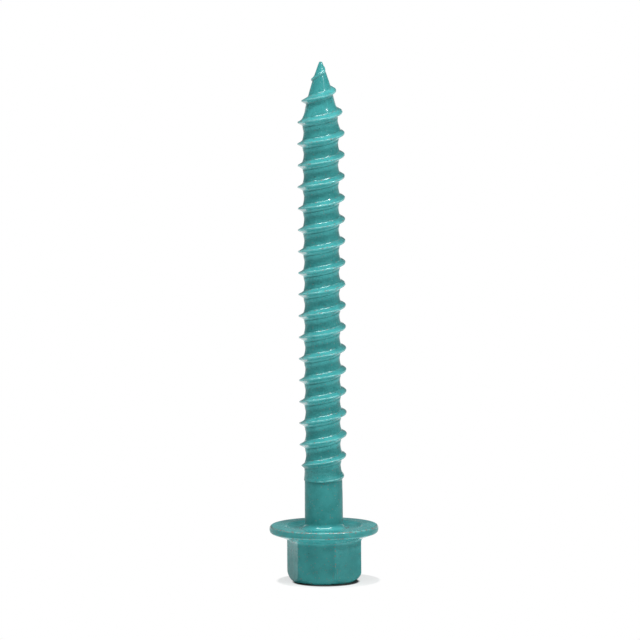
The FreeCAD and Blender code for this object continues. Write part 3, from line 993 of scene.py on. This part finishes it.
def add_camera():
    """Camera that frames the screw as the photograph does."""
    right, up, forward = camera_axes()
    rolled_right = right * math.cos(CAMERA_ROLL) + up * math.sin(CAMERA_ROLL)
    rolled_up = up * math.cos(CAMERA_ROLL) - right * math.sin(CAMERA_ROLL)
    aim = Vector((0, 0, AIM_Z * MM)) + right * (AIM_RIGHT * MM)
    data = bpy.data.cameras.new("camera")
    data.sensor_width = 36
    data.lens = PIXELS_PER_MM * CAMERA_DISTANCE / MM / IMAGE_PIXELS * data.sensor_width
    data.clip_end = 10
    camera = bpy.data.objects.new("camera", data)
    turned = Matrix((rolled_right, rolled_up, -forward)).transposed().to_4x4()
    camera.matrix_world = Matrix.Translation(aim - forward * CAMERA_DISTANCE) @ turned
    bpy.context.scene.collection.objects.link(camera)
    bpy.context.scene.camera = camera


# Floor, with its sizes in metres
FLOOR_HALF = 1.5
# How much of the light that falls on the floor it sends on to the screw, and to the camera
FLOOR_BOUNCE = 0.90
FLOOR_TONE = 0.70
# Distances from the axis: the deep shadow ends, the soft one begins, it fades, all is white
SHADOW_RINGS = (0.0037, 0.0041, 0.0052, 0.0063)
SHADOW_SHIFT = 0.0005
# The painted contact shadow lies to the right of the axis and in front of it, as the camera sees it
CONTACT_SHIFT = (0.0002, 0.0010)
CONTACT_TONE = 0.06
SOFT_SHADOW = 0.66


def distance_from(tree, coordinates, centre):
    """Distance of a place on the floor from a centre."""
    away = node(tree, "ShaderNodeVectorMath", operation="DISTANCE")
    away.inputs[1].default_value = centre
    tree.links.new(coordinates.outputs["Object"], away.inputs[0])
    return away.outputs["Value"]


def mixed(tree, share, first, second):
    """Mix of two shaders."""
    made = node(tree, "ShaderNodeMixShader")
    for socket, value in zip(made.inputs, (share, first.outputs[0], second.outputs[0])):
        tree.links.new(value, socket)
    return made


def floor_material():
    """Pale floor: it keeps the shadow round the screw, has a painted contact shadow at the head's
    edge, and turns to plain white further out.
    """
    material, tree = new_material("pale_floor")
    bounce = node(tree, "ShaderNodeBsdfDiffuse", Color=(FLOOR_BOUNCE,) * 3 + (1,))
    lit = node(tree, "ShaderNodeBsdfDiffuse")
    white = node(tree, "ShaderNodeEmission", Color=(1, 1, 1, 1), Strength=1.0)
    coordinates = node(tree, "ShaderNodeTexCoord")
    right, _, _ = camera_axes()
    to_right, to_front = CONTACT_SHIFT
    contact_centre = right * to_right + Vector((right.y, -right.x, 0)) * to_front
    from_contact = distance_from(tree, coordinates, contact_centre)
    from_shadow = distance_from(tree, coordinates, (SHADOW_SHIFT, 0, 0))
    deep_end, soft_start, fade_start, fade_end = SHADOW_RINGS
    contact = mapped(tree, from_contact, deep_end, soft_start)
    tone = blended(tree, contact, (CONTACT_TONE,) * 3, (FLOOR_TONE,) * 3)
    tree.links.new(tone, lit.inputs["Color"])
    soft = mapped(tree, from_contact, deep_end, soft_start, 0.0, SOFT_SHADOW)
    faded = mapped(tree, from_shadow, fade_start, fade_end)
    seen = mixed(tree, math_node(tree, "MAXIMUM", soft, faded), lit, white)
    rays = node(tree, "ShaderNodeLightPath").outputs
    direct = math_node(tree, "MAXIMUM", rays["Is Camera Ray"], rays["Is Glossy Ray"])
    direct = math_node(tree, "MAXIMUM", direct, rays["Is Transmission Ray"])
    show(tree, mixed(tree, direct, bounce, seen).outputs[0])
    return material


def add_floor():
    """Level square of floor under the screw."""
    data = bpy.data.meshes.new("floor")
    signs = (-1, -1), (1, -1), (1, 1), (-1, 1)
    data.from_pydata([(x * FLOOR_HALF, y * FLOOR_HALF, 0) for x, y in signs], [], [(0, 1, 2, 3)])
    floor = bpy.data.objects.new("floor", data)
    bpy.context.scene.collection.objects.link(floor)
    data.materials.append(floor_material())


def add_softbox(name, azimuth, elevation, distance, size, power):
    """Lamp of a width and depth in metres, aimed at the screw.

    Its azimuth counts from the camera's, to the right, and both angles are in degrees.
    """
    right, _, _ = camera_axes()
    towards = Vector((right.y, -right.x, 0))
    turn, lift = math.radians(azimuth), math.radians(elevation)
    level = towards * math.cos(turn) + right * math.sin(turn)
    direction = level * math.cos(lift) + Vector((0, 0, 1)) * math.sin(lift)
    data = bpy.data.lights.new(name, "AREA")
    data.shape = "RECTANGLE"
    data.size, data.size_y = size
    data.energy = power
    lamp = bpy.data.objects.new(name, data)
    lamp.location = Vector((0, 0, AIM_Z * MM)) + direction * distance
    lamp.rotation_euler = direction.to_track_quat("Z", "Y").to_euler()
    bpy.context.scene.collection.objects.link(lamp)


# Brightness of the room, and height above the horizon up to which it turns white
ROOM_LEVEL = 0.16
HORIZON_BAND = 0.13


def add_world():
    """Dim room that turns white down to the horizon."""
    world = bpy.data.worlds.new("studio")
    bpy.context.scene.world = world
    world.use_nodes = True
    tree = world.node_tree
    tree.nodes.clear()
    coordinates = node(tree, "ShaderNodeTexCoord")
    parts = node(tree, "ShaderNodeSeparateXYZ")
    tree.links.new(coordinates.outputs["Generated"], parts.inputs[0])
    light = node(tree, "ShaderNodeBackground", Color=(1, 1, 1, 1))
    level = mapped(tree, parts.outputs["Z"], 0.0, HORIZON_BAND, 1.0, ROOM_LEVEL)
    tree.links.new(level, light.inputs["Strength"])
    show(tree, light.outputs[0], "World")


screw = build_screw()
dress_screw(screw)
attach(screw, "root")
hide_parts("screw")
add_floor()
add_camera()
add_world()
add_softbox("top_softbox", azimuth=-2, elevation=68, distance=0.6, size=(0.78, 0.075), power=4.0)
add_softbox("side_softbox", azimuth=45, elevation=34, distance=0.6, size=(0.05, 0.05), power=1.0)

bpy.context.scene.view_settings.view_transform = "Standard"
